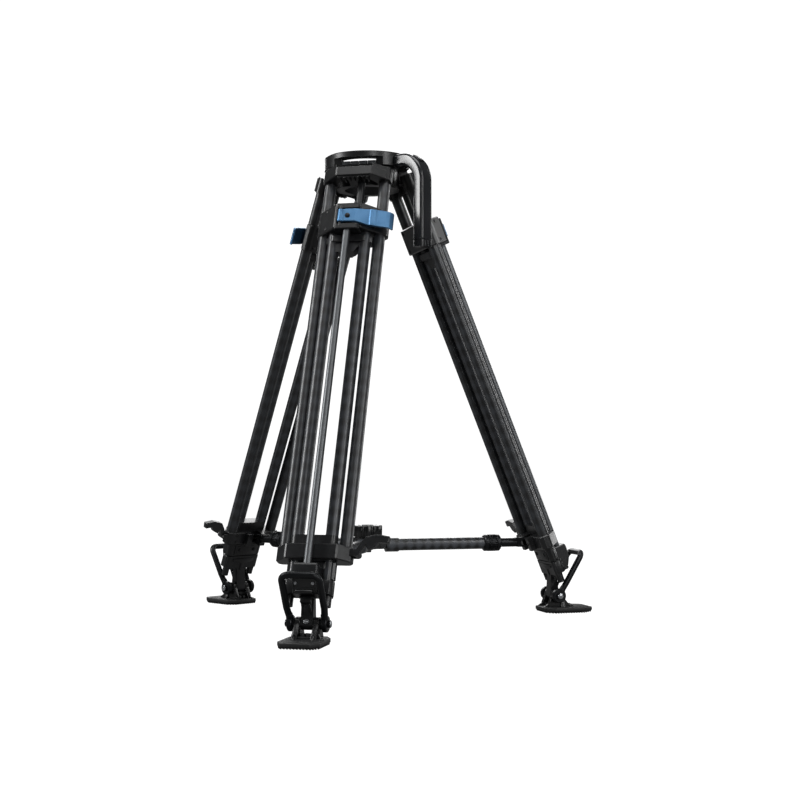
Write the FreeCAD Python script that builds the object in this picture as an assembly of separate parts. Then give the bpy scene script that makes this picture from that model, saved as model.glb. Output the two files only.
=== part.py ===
import FreeCAD, Part
import math
import os

# A three-legged camera tripod with a half-ball bowl, twin-tube legs, tilting feet and a
# mid-level spreader. Millimetres, +Z up, floor at z = 0, front leg towards -Y.
# Leg pieces are drawn in a leg's own frame: u across the leg, v square out of it, w down it.
# Level pieces are drawn as for the front leg, about the crown's axis, and turned into place.

Vec = FreeCAD.Vector

# ---- driving dimensions -------------------------------------------------------------
LEG_ANGLE = 22.0                  # lean of each leg from the vertical
AZIMUTHS = {"front": 0.0, "right": 120.0, "left": -120.0}
CROWN_Y = 71.11                   # crown axis behind the middle of the footprint
REF_R, REF_Z = 43.7, 700.0        # a leg frame's zero: radius and height

CROWN_TOP, CROWN_BOTTOM = 714.0, 664.0
BOWL_R, THROAT_R = 50.5, 36.0     # seat and clear hole of a 100 mm half ball
RING_R, RING_BOTTOM = 67.5, 693.5
HUB_R = 49.0                      # outside of the bowl under the ring
YOKE_PIN_R, YOKE_PIN_Z = 58.5, 683.0

TUBE_R, TUBE_BORE = 8.75, 7.4     # the outer and inner tube pairs
OUTER_U = 42.5                    # half the spacing of the outer tubes
INNER_U, INNER_V = 24.0, 9.1
LOWER_R, LOWER_BORE = 7.0, 5.8
ROD_V, ROD_R, ROD_BORE, CORE_R = 28.9, 5.25, 4.1, 3.8

CLAMP_TOP, CLAMP_BOTTOM = 92.0, 134.0
COLLAR_TOP, COLLAR_BOTTOM = 619.0, 640.5
NECK_TOP, MID_TOP, MID_BOTTOM = 606.0, 641.2, 667.0
FOOT_TOP, FOOT_BOTTOM = 667.6, 690.0
ANKLE_R, ANKLE_Z = 309.3, 27.9    # the ankle bolt's place in the leg's plane

SLIDE_GAP = 0.4                   # sliding clearance on radius
PIN_FIT = 0.06                    # running clearance on radius
BOLT_R = 4.0
SCREW_R = 2.4

ARM_Z = 112.5                     # height of the spreader arms
ARM_PIVOT_R, HUB_PIN_R = 268.0, 22.0

SIN, COS = math.sin(math.radians(LEG_ANGLE)), math.cos(math.radians(LEG_ANGLE))
SIDES = (-1, 1)
ACROSS = Vec(1, 0, 0)


# ---- frames and small helpers ------------------------------------------------------
def leg_matrix(azimuth):
    """Carries leg coordinates (u, v, w) to the row's frame."""
    a = math.radians(azimuth)
    out = Vec(math.sin(a), -math.cos(a), 0)
    across = Vec(math.cos(a), math.sin(a), 0)
    square = out * COS + Vec(0, 0, SIN)
    down = out * SIN - Vec(0, 0, COS)
    base = out * REF_R + Vec(0, CROWN_Y, REF_Z)
    return FreeCAD.Matrix(across.x, square.x, down.x, base.x,
                          across.y, square.y, down.y, base.y,
                          across.z, square.z, down.z, base.z, 0, 0, 0, 1)


def on_leg(shape, azimuth):
    moved = shape.copy()
    moved.Placement = FreeCAD.Placement(leg_matrix(azimuth)).multiply(moved.Placement)
    return moved


def about_axis(shape, azimuth):
    return shape.rotated(Vec(0, 0, 0), Vec(0, 0, 1), azimuth)


def level(shape, azimuth):
    return about_axis(shape, azimuth).translated(Vec(0, CROWN_Y, 0))


def leg_point(radius, height):
    """Leg coordinates (v, w) of a radius and height in the leg's middle plane."""
    out, drop = radius - REF_R, REF_Z - height
    return out * COS - drop * SIN, out * SIN + drop * COS


def box(x0, x1, y0, y1, z0, z1):
    return Part.makeBox(x1 - x0, y1 - y0, z1 - z0, Vec(x0, y0, z0))


def post(x, y, radius, z0, z1):
    return Part.makeCylinder(radius, z1 - z0, Vec(x, y, z0), Vec(0, 0, 1))


def bar(y, z, radius, x0, x1):
    """A round bar along the first axis."""
    return Part.makeCylinder(radius, x1 - x0, Vec(x0, y, z), ACROSS)


def spoke(z, radius, near, far):
    """A round bar level out from the axis, as on the front leg."""
    return Part.makeCylinder(radius, far - near, Vec(0, -near, z), Vec(0, -1, 0))


def tube(x, y, outer, inner, z0, z1):
    return post(x, y, outer, z0, z1).cut(post(x, y, inner, z0 - 1, z1 + 1))


def prism(points, z0, z1):
    """A plan outline (x, y) raised from z0 to z1."""
    wire = Part.makePolygon([Vec(x, y, z0) for x, y in points + points[:1]])
    return Part.Face(wire).extrude(Vec(0, 0, z1 - z0))


def slab(points, x0, x1):
    """A side outline (y, z) spread from x0 to x1."""
    wire = Part.makePolygon([Vec(x0, y, z) for y, z in points + points[:1]])
    return Part.Face(wire).extrude(Vec(x1 - x0, 0, 0))


def slab_across(points, y0, y1):
    """A front outline (x, z) run from y0 to y1."""
    wire = Part.makePolygon([Vec(x, y0, z) for x, z in points + points[:1]])
    return Part.Face(wire).extrude(Vec(0, y1 - y0, 0))


def eased(shape, size, spare=None):
    """Chamfers every edge, except those whose middle the spare test picks out."""
    edges = [e for e in shape.Edges if not (spare and spare(e.CenterOfMass))]
    return shape.makeChamfer(size, edges)


def both_halves(half):
    """A plan outline from its half with positive x, front to back."""
    return half + [(-x, y) for x, y in reversed(half)]


def join(first, *others):
    return first.fuse(list(others)).removeSplitter()


def pair(make):
    """One shape for each side of a leg, from a function of the side."""
    return [make(side) for side in SIDES]


def mirrored(shape):
    return shape.mirror(Vec(0, 0, 0), ACROSS)


def stadium(half, y, radius, z0, z1):
    return join(post(-half, y, radius, z0, z1), post(half, y, radius, z0, z1),
                box(-half, half, y - radius, y + radius, z0, z1))


def export(name, *solids):
    shape = solids[0] if len(solids) == 1 else Part.makeCompound(list(solids))
    shape.exportStep("parts/" + name + ".step")


PIN_V, PIN_W = leg_point(YOKE_PIN_R, YOKE_PIN_Z)
ANKLE_V, ANKLE_W = leg_point(ANKLE_R, ANKLE_Z)
PIVOT_V, PIVOT_W = leg_point(ARM_PIVOT_R, ARM_Z)

# ---- crown ------------------------------------------------------------------------
FACET_R, LIP_BOTTOM = 55.5, 705.5         # flats above the legs, under the round lip
WINDOW_HALF, WINDOW_BOTTOM, WINDOW_TOP = 27.5, 695.0, 704.5
LUG_IN, LUG_OUT, LUG_R = 12.0, 20.0, 9.0
TOOTH_PITCH, TOOTH_WIDTH = 13.6, 12.4
HANDLE_AZIMUTH = 60.0
HANDLE_DEEP, HANDLE_WIDE, HANDLE_CORNER = 17.5, 22.5, 4.0
HANDLE_Z, HANDLE_BEND, HANDLE_ARCH_R, HANDLE_END = 700.2, 36.25, 80.0, 564.0


def crown():
    ring = post(0, 0, RING_R, RING_BOTTOM, CROWN_TOP)
    ring = ring.makeChamfer(1.5, [e for e in ring.Edges if e.CenterOfMass.z > CROWN_TOP - 0.1])
    facet = box(-60, 60, -90, -FACET_R, RING_BOTTOM - 1, LIP_BOTTOM)
    window = box(-WINDOW_HALF, WINDOW_HALF, -80, -30, WINDOW_BOTTOM, WINDOW_TOP)
    lug = join(box(LUG_IN, LUG_OUT, -YOKE_PIN_R, -40, YOKE_PIN_Z - LUG_R, WINDOW_BOTTOM),
               bar(-YOKE_PIN_R, YOKE_PIN_Z, LUG_R, LUG_IN, LUG_OUT))
    lugs = [lug, mirrored(lug)]
    hole = bar(-YOKE_PIN_R, YOKE_PIN_Z, BOLT_R, -LUG_OUT - 1, LUG_OUT + 1)
    bowl = join(Part.makeSphere(BOWL_R, Vec(0, 0, CROWN_TOP)),
                post(0, 0, THROAT_R, CROWN_BOTTOM - 1, CROWN_TOP))
    turns = list(AZIMUTHS.values())
    body = ring.cut([about_axis(facet, a) for a in turns])
    body = join(body, post(0, 0, HUB_R, CROWN_BOTTOM, RING_BOTTOM + 1),
                *[about_axis(each, a) for each in lugs for a in turns])
    body = body.cut([bowl] + [about_axis(each, a) for each in (window, hole) for a in turns])
    return level(body, 0)


def yoke_pin(azimuth):
    reach = LUG_OUT + 0.3
    pin = join(bar(-YOKE_PIN_R, YOKE_PIN_Z, BOLT_R, -reach, reach),
               bar(-YOKE_PIN_R, YOKE_PIN_Z, 6.0, reach, reach + 3),
               bar(-YOKE_PIN_R, YOKE_PIN_Z, 6.0, -reach - 3, -reach))
    return level(pin, azimuth)


def lock_teeth(azimuth):
    """Four stop blocks on the sill of a crown window."""
    half = TOOTH_WIDTH / 2
    teeth = []
    for place in (-1.5, -0.5, 0.5, 1.5):
        middle = place * TOOTH_PITCH
        tooth = box(middle - half, middle + half, -FACET_R + 0.8, -FACET_R + 5,
                    WINDOW_BOTTOM, WINDOW_BOTTOM + 5.5)
        teeth.append(level(tooth, azimuth))
    return teeth


def carry_handle():
    """A J: level from the crown, round a bend, then straight down."""
    deep, wide = HANDLE_DEEP / 2, HANDLE_WIDE / 2
    start, drop_y = -RING_R + 8, -HANDLE_ARCH_R - HANDLE_BEND
    centre = Vec(0, -HANDLE_ARCH_R, HANDLE_Z - HANDLE_BEND)
    run = box(-wide, wide, -HANDLE_ARCH_R, start, HANDLE_Z - deep, HANDLE_Z + deep)
    section = [Vec(x, -HANDLE_ARCH_R, HANDLE_Z + z)
               for x, z in ((-wide, -deep), (wide, -deep), (wide, deep), (-wide, deep), (-wide, -deep))]
    bend = Part.Face(Part.makePolygon(section)).revolve(centre, ACROSS, 90)
    drop = box(-wide, wide, drop_y - deep, drop_y + deep, HANDLE_END, centre.z)
    whole = join(run, bend, drop)

    def lengthwise(edge):
        point = edge.CenterOfMass
        inner = point.z > HANDLE_END + 0.1 and point.y < start - 0.1
        return inner and abs(abs(point.x) - wide) < 0.01
    whole = whole.makeFillet(HANDLE_CORNER, [e for e in whole.Edges if lengthwise(e)])
    whole = whole.cut(post(0, 0, RING_R, HANDLE_END, CROWN_TOP + 5))
    return level(whole, HANDLE_AZIMUTH)


# ---- upper leg ----------------------------------------------------------------------
YOKE_FRONT, YOKE_END_TOP, YOKE_TOP, YOKE_BOTTOM = 30.0, 17.0, 25.0, 41.0
TONGUE_HALF = 11.6
SOCKET_R = 11.3


def yoke():
    beam = eased(prism(both_halves([(27, YOKE_FRONT), (47, 13.5), (47, 0), (30, 3), (22, 14)]),
                       YOKE_TOP, YOKE_BOTTOM), 1.2)
    ends = [eased(prism([(side * 28, 29.0), (side * 52, 9), (side * 53, 0), (side * 40, -4), (side * 29, 4)],
                        YOKE_END_TOP + 2, YOKE_BOTTOM), 1.2) for side in SIDES]
    sockets = pair(lambda side: post(side * OUTER_U, 0, SOCKET_R, YOKE_END_TOP, YOKE_BOTTOM))
    rims = pair(lambda side: post(side * OUTER_U, 0, SOCKET_R - 1.6, YOKE_BOTTOM - 1, YOKE_BOTTOM + 1.5))
    tongue = join(bar(PIN_V, PIN_W, 8.0, -TONGUE_HALF, TONGUE_HALF),
                  slab([(PIN_V - 2, PIN_W + 7.5), (PIN_V + 7, PIN_W - 3), (YOKE_FRONT - 4, YOKE_TOP + 2),
                        (YOKE_FRONT - 4, YOKE_BOTTOM), (-1, YOKE_BOTTOM)], -TONGUE_HALF, TONGUE_HALF))
    body = join(beam, tongue, *ends, *sockets, *rims)
    clear = bar(PIN_V, PIN_W, LUG_R + 1.2, TONGUE_HALF, LUG_OUT + 3.8)
    bores = pair(lambda side: post(side * OUTER_U, 0, TUBE_R, 20, YOKE_BOTTOM + 5))
    pin_bore = bar(PIN_V, PIN_W, BOLT_R + PIN_FIT, -TONGUE_HALF - 1, TONGUE_HALF + 1)
    return body.cut(bores + [clear, mirrored(clear), pin_bore])


def outer_tubes():
    return pair(lambda side: tube(side * OUTER_U, 0, TUBE_R, TUBE_BORE, 20, 639))


HOUSING_HALF, HOUSING_FRONT, HOUSING_BOTTOM = 19.0, 37.0, 138.0
POCKET_TOP, POCKET_BOTTOM, POCKET_BACK = 103.0, 130.0, 30.5
LEVER_PIN_U, LEVER_PIN_V, LEVER_PIN_R = -10.0, 35.5, 2.0
ROD_TOP = 130.5


def clamp_block():
    wings = eased(prism(both_halves([(19, 33), (48, 9), (54.5, 1), (54.5, -8), (48, -12.3), (34, -12.3)]),
                        CLAMP_TOP, CLAMP_BOTTOM), 1.4)
    housing = eased(prism(both_halves([(16.5, HOUSING_FRONT), (HOUSING_HALF, 33.5), (HOUSING_HALF, 18)]),
                          CLAMP_TOP + 4, HOUSING_BOTTOM), 1.0)
    pocket = box(-15.5, 40, POCKET_BACK, 45, POCKET_TOP, POCKET_BOTTOM)
    strut = post(7.5, 5, 6.0, YOKE_BOTTOM, CLAMP_TOP + 1)
    pin = post(LEVER_PIN_U, LEVER_PIN_V, LEVER_PIN_R, POCKET_TOP - 3, POCKET_BOTTOM + 3)
    body = join(wings, housing, strut)
    body = body.cut([pocket, post(0, ROD_V, ROD_R, ROD_TOP, HOUSING_BOTTOM + 1)]
                    + pair(lambda side: post(side * OUTER_U, 0, TUBE_R, 80, 150))
                    + pair(lambda side: post(side * INNER_U, INNER_V, TUBE_R + SLIDE_GAP, 98, 150)))
    return join(body, pin)


LEVER_END = 67.0          # reach of the finger end from the leg's middle


def clamp_lever():
    """A flip lever: a barrel on its pin, a flat root, a blade laid along the block and a curled end."""
    front = [(LEVER_PIN_U, 39.0), (13, 38.4), (20, 36.2), (36, 30.6), (44, 28.6), (56, 24.6), (63, 21.0),
             (LEVER_END, 15.5)]
    back = [(LEVER_END - 4, 14.0), (61, 17.4), (54, 20.6), (43, 24.2), (35, 26.4), (19, 32.2), (13, 33.2)]
    barrel = post(LEVER_PIN_U, LEVER_PIN_V, 4.6, 106, 127)
    blade = prism(front + back + [(LEVER_PIN_U, 33.0)], 104.5, 131.5)
    trims = [slab_across([(LEVER_PIN_U - 6, 127), (15, 127), (34, 131.5), (34, 140), (LEVER_PIN_U - 6, 140)],
                         10, 50),
             slab_across([(LEVER_PIN_U - 6, 106), (15, 106), (34, 104.5), (34, 100), (LEVER_PIN_U - 6, 100)],
                         10, 50)]
    whole = join(blade.cut(trims), barrel)
    return whole.cut(post(LEVER_PIN_U, LEVER_PIN_V, LEVER_PIN_R + PIN_FIT, 100, 140))


def control_rod():
    return tube(0, ROD_V, ROD_R, ROD_BORE, ROD_TOP, 656)


THUMB_U, THUMB_W = 59.5, 627.0
THUMB_HALF = 4.0
COLLAR_REAR, LUG_HALF_IN, LUG_HALF_OUT = -11.0, 8.6, 20.0


def thumb_barrel(v0, v1, radius):
    return Part.makeCylinder(radius, v1 - v0, Vec(THUMB_U, v0, THUMB_W), Vec(0, 1, 0))


def collar_block():
    body = eased(prism(both_halves([(36, 21.2), (53.4, 4), (53.4, -7), (48, COLLAR_REAR)]),
                       COLLAR_TOP, COLLAR_BOTTOM), 1.4)
    lug = box(LUG_HALF_IN, LUG_HALF_OUT, -19.5, COLLAR_REAR + 1, COLLAR_TOP, COLLAR_BOTTOM)
    ear = join(box(50, THUMB_U, THUMB_HALF + 0.4, THUMB_HALF + 3.4, THUMB_W - 4.5, THUMB_W + 4.5),
               thumb_barrel(THUMB_HALF + 0.4, THUMB_HALF + 3.4, 4.5))
    far_ear = ear.translated(Vec(0, -2 * THUMB_HALF - 3.8, 0))
    thumb_pin = thumb_barrel(-THUMB_HALF - 2, THUMB_HALF + 2, SCREW_R)
    pocket = box(-LUG_HALF_IN, LUG_HALF_IN, -25, -3.2, COLLAR_TOP - 1, COLLAR_BOTTOM + 1)
    body = join(body, lug, mirrored(lug), ear, far_ear)
    body = body.cut([pocket, stadium(INNER_U, INNER_V, TUBE_R + SLIDE_GAP, 600, 650)]
                    + pair(lambda side: post(side * OUTER_U, 0, TUBE_R, 600, 639)))
    pivot = bar(PIVOT_V, PIVOT_W, SCREW_R, -LUG_HALF_OUT, LUG_HALF_OUT)
    head = bar(PIVOT_V, PIVOT_W, 4.2, -LUG_HALF_OUT - 1.8, -LUG_HALF_OUT)
    return join(body, thumb_pin, pivot, head)


def thumb_lever():
    outline = [(THUMB_U - 3.5, 624), (63, 612), (70, 603), (86, 599.5), (103, 602), (101.5, 611.5), (88, 610),
               (84, 617), (74, 621.5), (70, 614), (THUMB_U + 3.5, 629)]
    body = join(eased(slab_across(outline, -THUMB_HALF, THUMB_HALF), 0.7), thumb_barrel(-THUMB_HALF, THUMB_HALF, 4.5))
    return body.cut(thumb_barrel(-THUMB_HALF - 1, THUMB_HALF + 1, SCREW_R + PIN_FIT))


# ---- middle and lower leg --------------------------------------------------------------
INNER_TOP, LOWER_TOP = 100.0, 115.0
SLIDER_TOP, SLIDER_BOTTOM = 138.6, 166.0
BUMP_HALF, BUMP_FRONT = 17.0, 38.6
CORE_BOTTOM = 679.0
SOCKET_BOTTOM, TUBE_END = 683.0, 681.0


def inner_tubes():
    return pair(lambda side: tube(side * INNER_U, INNER_V, TUBE_R, TUBE_BORE, INNER_TOP, NECK_TOP))


def slider():
    """Joins the tops of the inner tubes and runs between the outer tubes."""
    body = eased(prism(both_halves([(24, 19.5), (36, 10), (34, -3), (20, -5)]), SLIDER_TOP, 150), 1.0)
    tail = slab_across([(-24, 149), (24, 149), (9, SLIDER_BOTTOM), (-24, SLIDER_BOTTOM)], 1, 16)
    return join(body, tail).cut(
        pair(lambda side: post(side * INNER_U, INNER_V, TUBE_R, 130, 170))
        + pair(lambda side: post(side * OUTER_U, 0, TUBE_R + SLIDE_GAP, 130, 170)))


def mid_block():
    neck = stadium(INNER_U, INNER_V, TUBE_R, NECK_TOP, MID_TOP + 1)
    body = eased(prism(both_halves([(30, 12.5), (34.5, 9), (34.5, 4), (29, 0)]), MID_TOP, MID_BOTTOM), 0.9)
    bump = slab([(10, 651), (BUMP_FRONT - 2, 651), (BUMP_FRONT, 653), (BUMP_FRONT, 669), (27, 690.5),
                 (12.4, 690.5), (12.4, MID_BOTTOM), (10, MID_BOTTOM)], -BUMP_HALF, BUMP_HALF)
    bump = eased(bump, 1.4, lambda middle: middle.y < 20)
    body = join(neck, body, bump)
    body = body.cut([post(0, ROD_V, ROD_R + SLIDE_GAP, 640, 674), post(0, ROD_V, CORE_R, 670, CORE_BOTTOM)]
                    + pair(lambda side: post(side * INNER_U, INNER_V, LOWER_R + 0.35, 600, 700))
                    + pair(lambda side: post(side * INNER_U, INNER_V, LOWER_R + 1.5, MID_BOTTOM, 700)))
    core = post(0, ROD_V, CORE_R, ROD_TOP + 1.5, CORE_BOTTOM)
    return [body, core]


def lower_tubes():
    return pair(lambda side: tube(side * INNER_U, INNER_V, LOWER_R, LOWER_BORE, LOWER_TOP, TUBE_END))


def foot_block():
    """A back plate and centre block with a socket round the end of each lower tube."""
    plate = prism(both_halves([(18, 11.8), (18, 4), (33, 4), (33, 2), (29, 0)]), FOOT_TOP, FOOT_BOTTOM)
    sockets = pair(lambda side: post(side * INNER_U, INNER_V, LOWER_R + 1.2, FOOT_TOP, SOCKET_BOTTOM))
    plugs = pair(lambda side: post(side * 26.5, 6.2, 5.6, SOCKET_BOTTOM - 1, 703))
    ankle = join(bar(ANKLE_V, ANKLE_W, 8.6, -8.6, 8.6),
                 slab([(1, FOOT_BOTTOM - 2), (10, FOOT_BOTTOM - 2), (ANKLE_V + 8, ANKLE_W - 3),
                       (ANKLE_V - 8, ANKLE_W - 3)], -8.6, 8.6))
    body = join(plate, ankle, *sockets, *plugs)
    return body.cut([bar(ANKLE_V, ANKLE_W, BOLT_R, -20, 20)]
                    + pair(lambda side: post(side * INNER_U, INNER_V, LOWER_R, 660, TUBE_END)))


# ---- foot -----------------------------------------------------------------------------
EAR_IN, EAR_OUT, EAR_R = 9.2, 17.0, 9.0
BOSS_IN, BOSS_OUT, BOSS_R = 20.4, 28.0, 10.0
PAD_HALF_LENGTH, PAD_HALF_WIDTH, PAD_OFFSET = 40.5, 29.5, 18.2
PAD_CORNER = 16.0                 # length cut off each corner of the pad
TREAD_DEEP, TREAD_PITCH, PLATE_TOP = 3.0, 4.3, 9.5
BAIL_R, BAIL_REACH, BAIL_HALF = 4.3, 79.0, 26.5
BAIL_LEAN = math.degrees(math.atan2(0.61, 0.79))   # above the leg's own square direction


def foot_bolt():
    end = BOSS_OUT + 0.4
    washers = [bar(ANKLE_V, ANKLE_W, 7.5, *sorted((side * (EAR_OUT + 0.4), side * (BOSS_IN - 0.4))))
               for side in SIDES]
    heads = [bar(ANKLE_V, ANKLE_W, 5.2, *sorted((side * end, side * (end + 2.6)))) for side in SIDES]
    return join(bar(ANKLE_V, ANKLE_W, BOLT_R, -end, end), *washers, *heads)


def foot_pad():
    """Drawn level: the bolt is at (0, -ANKLE_R, ANKLE_Z), the pad's toe points away from the axis."""
    middle = -ANKLE_R - PAD_OFFSET
    end, straight = PAD_HALF_WIDTH - 8.5, PAD_HALF_LENGTH - PAD_CORNER
    half = [(end, -PAD_HALF_LENGTH), (PAD_HALF_WIDTH, -straight),
            (PAD_HALF_WIDTH, straight), (end, PAD_HALF_LENGTH)]
    outline = both_halves([(x, middle + y) for x, y in half])
    plate = prism(outline, 0, PLATE_TOP)
    for height, size in ((PLATE_TOP, 2.5), (0, 4.0)):
        rim = [e for e in plate.Edges if abs(e.CenterOfMass.z - height) < 0.01]
        plate = plate.makeChamfer(size, rim)
    ridge_y = middle - PAD_HALF_LENGTH + TREAD_PITCH * 0.6
    grooves = []
    while ridge_y < middle + PAD_HALF_LENGTH - 1:
        grooves.append(box(-50, 50, ridge_y, ridge_y + TREAD_PITCH * 0.42, -1, TREAD_DEEP))
        ridge_y += TREAD_PITCH
    plate = plate.cut(grooves)
    ear = join(bar(-ANKLE_R, ANKLE_Z, EAR_R, EAR_IN, EAR_OUT),
               slab([(-ANKLE_R - 24, PLATE_TOP - 1), (-ANKLE_R - 8, ANKLE_Z - 4), (-ANKLE_R + 8, ANKLE_Z - 4),
                     (-ANKLE_R + 16, PLATE_TOP - 1)], EAR_IN, EAR_OUT))
    body = join(plate, ear, mirrored(ear))
    return body.cut(bar(-ANKLE_R, ANKLE_Z, BOLT_R + PIN_FIT, -30, 30))


def bail():
    """A round loop from the two ends of the ankle bolt, leaning out of the leg."""
    arm = join(Part.makeCylinder(BAIL_R, BAIL_REACH, Vec(BAIL_HALF, 0, 0), Vec(0, 1, 0)),
               Part.makeSphere(BAIL_R, Vec(BAIL_HALF, BAIL_REACH, 0)))
    top = bar(BAIL_REACH, 0, BAIL_R, -BAIL_HALF, BAIL_HALF)
    boss = bar(0, 0, BOSS_R, BOSS_IN, BOSS_OUT)
    loop = join(arm, mirrored(arm), top, boss, mirrored(boss))
    clear = bar(0, 0, BOSS_R + 0.5, -BOSS_IN, BOSS_IN)
    loop = loop.cut([bar(0, 0, BOLT_R + PIN_FIT, -40, 40), clear,
                     bar(0, 0, BOSS_R + 0.5, BOSS_OUT, 40), bar(0, 0, BOSS_R + 0.5, -40, -BOSS_OUT)])
    return loop.rotated(Vec(0, 0, 0), ACROSS, -BAIL_LEAN).translated(Vec(0, ANKLE_V, ANKLE_W))


# ---- spreader --------------------------------------------------------------------------
ARM_R, ARM_BORE, ARM_ROD_R, ARM_ROD_BORE = 9.5, 7.6, 7.0, 5.6
FERRULE_NEAR, FERRULE_FAR, ARM_TUBE_END = 29.0, 49.0, 201.0
TWIST_NEAR, TWIST_FAR, TWIST_R = 190.0, 217.0, 13.5
HUB_TONGUE_HALF, HUB_EAR_OUT = 4.0, 8.5
ARM_END_HALF, ARM_END_NEAR = 8.0, 246.0
SLOT_HALF = SCREW_R + 2.2
KNOB_R, KNOB_BOTTOM, KNOB_TOP, KNOB_LOBES = 23.0, 126.0, 144.0, 10


def arm_tube():
    tongue = join(bar(-HUB_PIN_R, ARM_Z, 5.5, -HUB_TONGUE_HALF, HUB_TONGUE_HALF),
                  box(-HUB_TONGUE_HALF, HUB_TONGUE_HALF, -FERRULE_NEAR - 1, -HUB_PIN_R, ARM_Z - 5.5, ARM_Z + 5.5))
    body = join(tongue, spoke(ARM_Z, 11.0, FERRULE_NEAR, FERRULE_FAR), spoke(ARM_Z, ARM_R, FERRULE_FAR - 1,
                                                                             ARM_TUBE_END))
    return body.cut([spoke(ARM_Z, ARM_BORE, FERRULE_FAR, ARM_TUBE_END + 1),
                     bar(-HUB_PIN_R, ARM_Z, SCREW_R + PIN_FIT, -10, 10)])


def arm_collar():
    body = spoke(ARM_Z, TWIST_R, TWIST_NEAR, TWIST_FAR)
    body = body.makeChamfer(2.0, [e for e in body.Edges if e.Length > 80])
    return body.cut([spoke(ARM_Z, ARM_R + 0.3, TWIST_NEAR - 1, ARM_TUBE_END + 0.4),
                     spoke(ARM_Z, ARM_ROD_R + 0.3, TWIST_NEAR, TWIST_FAR + 1)])


def arm_rod():
    shank = spoke(ARM_Z, ARM_ROD_R, 70, ARM_END_NEAR + 1).cut(spoke(ARM_Z, ARM_ROD_BORE, 69, ARM_END_NEAR))
    root = box(-ARM_END_HALF, ARM_END_HALF, -ARM_PIVOT_R, -ARM_END_NEAR, ARM_Z - 7, ARM_Z + 7)
    nose = bar(-ARM_PIVOT_R, ARM_Z, 7.0, -ARM_END_HALF, ARM_END_HALF)
    slot = join(bar(-ARM_PIVOT_R - 1, ARM_Z, SLOT_HALF, -9, 9), bar(-ARM_PIVOT_R + 12, ARM_Z, SLOT_HALF, -9, 9),
                box(-9, 9, -ARM_PIVOT_R - 1, -ARM_PIVOT_R + 12, ARM_Z - SLOT_HALF, ARM_Z + SLOT_HALF))
    return join(shank, root, nose).cut(slot)


def spreader_hub():
    ear = join(bar(-HUB_PIN_R, ARM_Z, 6.0, HUB_TONGUE_HALF + 0.4, HUB_EAR_OUT),
               box(HUB_TONGUE_HALF + 0.4, HUB_EAR_OUT, -HUB_PIN_R, -8, ARM_Z - 6, ARM_Z + 6))
    screw = join(bar(-HUB_PIN_R, ARM_Z, SCREW_R, -HUB_EAR_OUT, HUB_EAR_OUT),
                 bar(-HUB_PIN_R, ARM_Z, 4.2, HUB_EAR_OUT, HUB_EAR_OUT + 1.6),
                 bar(-HUB_PIN_R, ARM_Z, 4.2, -HUB_EAR_OUT - 1.6, -HUB_EAR_OUT))
    turns = list(AZIMUTHS.values())
    body = join(post(0, 0, 14.5, ARM_Z - 6, KNOB_BOTTOM - 2), post(0, 0, 20, KNOB_BOTTOM - 4.5, KNOB_BOTTOM - 1))
    body = join(body, post(0, 0, 6, ARM_Z - 11, ARM_Z), *[about_axis(e, a) for e in (ear, mirrored(ear))
                                                           for a in turns])
    clear = join(bar(-HUB_PIN_R, ARM_Z, 6.3, -HUB_TONGUE_HALF - 0.4, HUB_TONGUE_HALF + 0.4),
                 box(-HUB_TONGUE_HALF - 0.4, HUB_TONGUE_HALF + 0.4, -30, -HUB_PIN_R, ARM_Z - 8, ARM_Z + 8))
    body = body.cut([about_axis(clear, a) for a in turns] + [post(0, 0, BOLT_R + PIN_FIT, ARM_Z, KNOB_TOP)])
    return level(join(body, *[about_axis(screw, a) for a in turns]), 0)


def hub_knob():
    body = post(0, 0, KNOB_R, KNOB_BOTTOM, KNOB_TOP)
    body = body.makeChamfer(1.5, [e for e in body.Edges if e.Length > 140])
    flute = post(0, -KNOB_R - 1.4, 3.6, KNOB_BOTTOM - 1, KNOB_TOP + 1)
    body = body.cut([about_axis(flute, 360.0 * n / KNOB_LOBES) for n in range(KNOB_LOBES)])
    return level(join(body, post(0, 0, BOLT_R, ARM_Z + 2, KNOB_BOTTOM + 1)), 0)


# ---- the whole ---------------------------------------------------------------------------
LEG_PIECES = {"yoke": yoke, "outer_tubes": outer_tubes, "clamp_block": clamp_block,
              "clamp_lever": clamp_lever, "control_rod": control_rod, "collar_block": collar_block,
              "thumb_lever": thumb_lever, "inner_tubes": inner_tubes, "slider": slider,
              "mid_block": mid_block, "lower_tubes": lower_tubes, "foot_block": foot_block,
              "foot_bolt": foot_bolt, "bail": bail}
LEVEL_PIECES = {"foot_pad": foot_pad, "arm_tube": arm_tube, "arm_collar": arm_collar, "arm_rod": arm_rod}


def main():
    os.makedirs("parts", exist_ok=True)
    export("crown", crown())
    export("yoke_pins", *[yoke_pin(a) for a in AZIMUTHS.values()])
    export("spread_locks", *[tooth for a in AZIMUTHS.values() for tooth in lock_teeth(a)])
    export("carry_handle", carry_handle())
    export("spreader_hub", spreader_hub())
    export("hub_knob", hub_knob())
    for pieces, place in ((LEG_PIECES, on_leg), (LEVEL_PIECES, level)):
        for piece, make in pieces.items():
            made = make()
            solids = made if isinstance(made, list) else [made]
            for side, azimuth in AZIMUTHS.items():
                export(side + "_" + piece, *[place(solid, azimuth) for solid in solids])


main()
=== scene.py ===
import math
import bmesh
import bpy
from mathutils import Matrix, Vector


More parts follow.
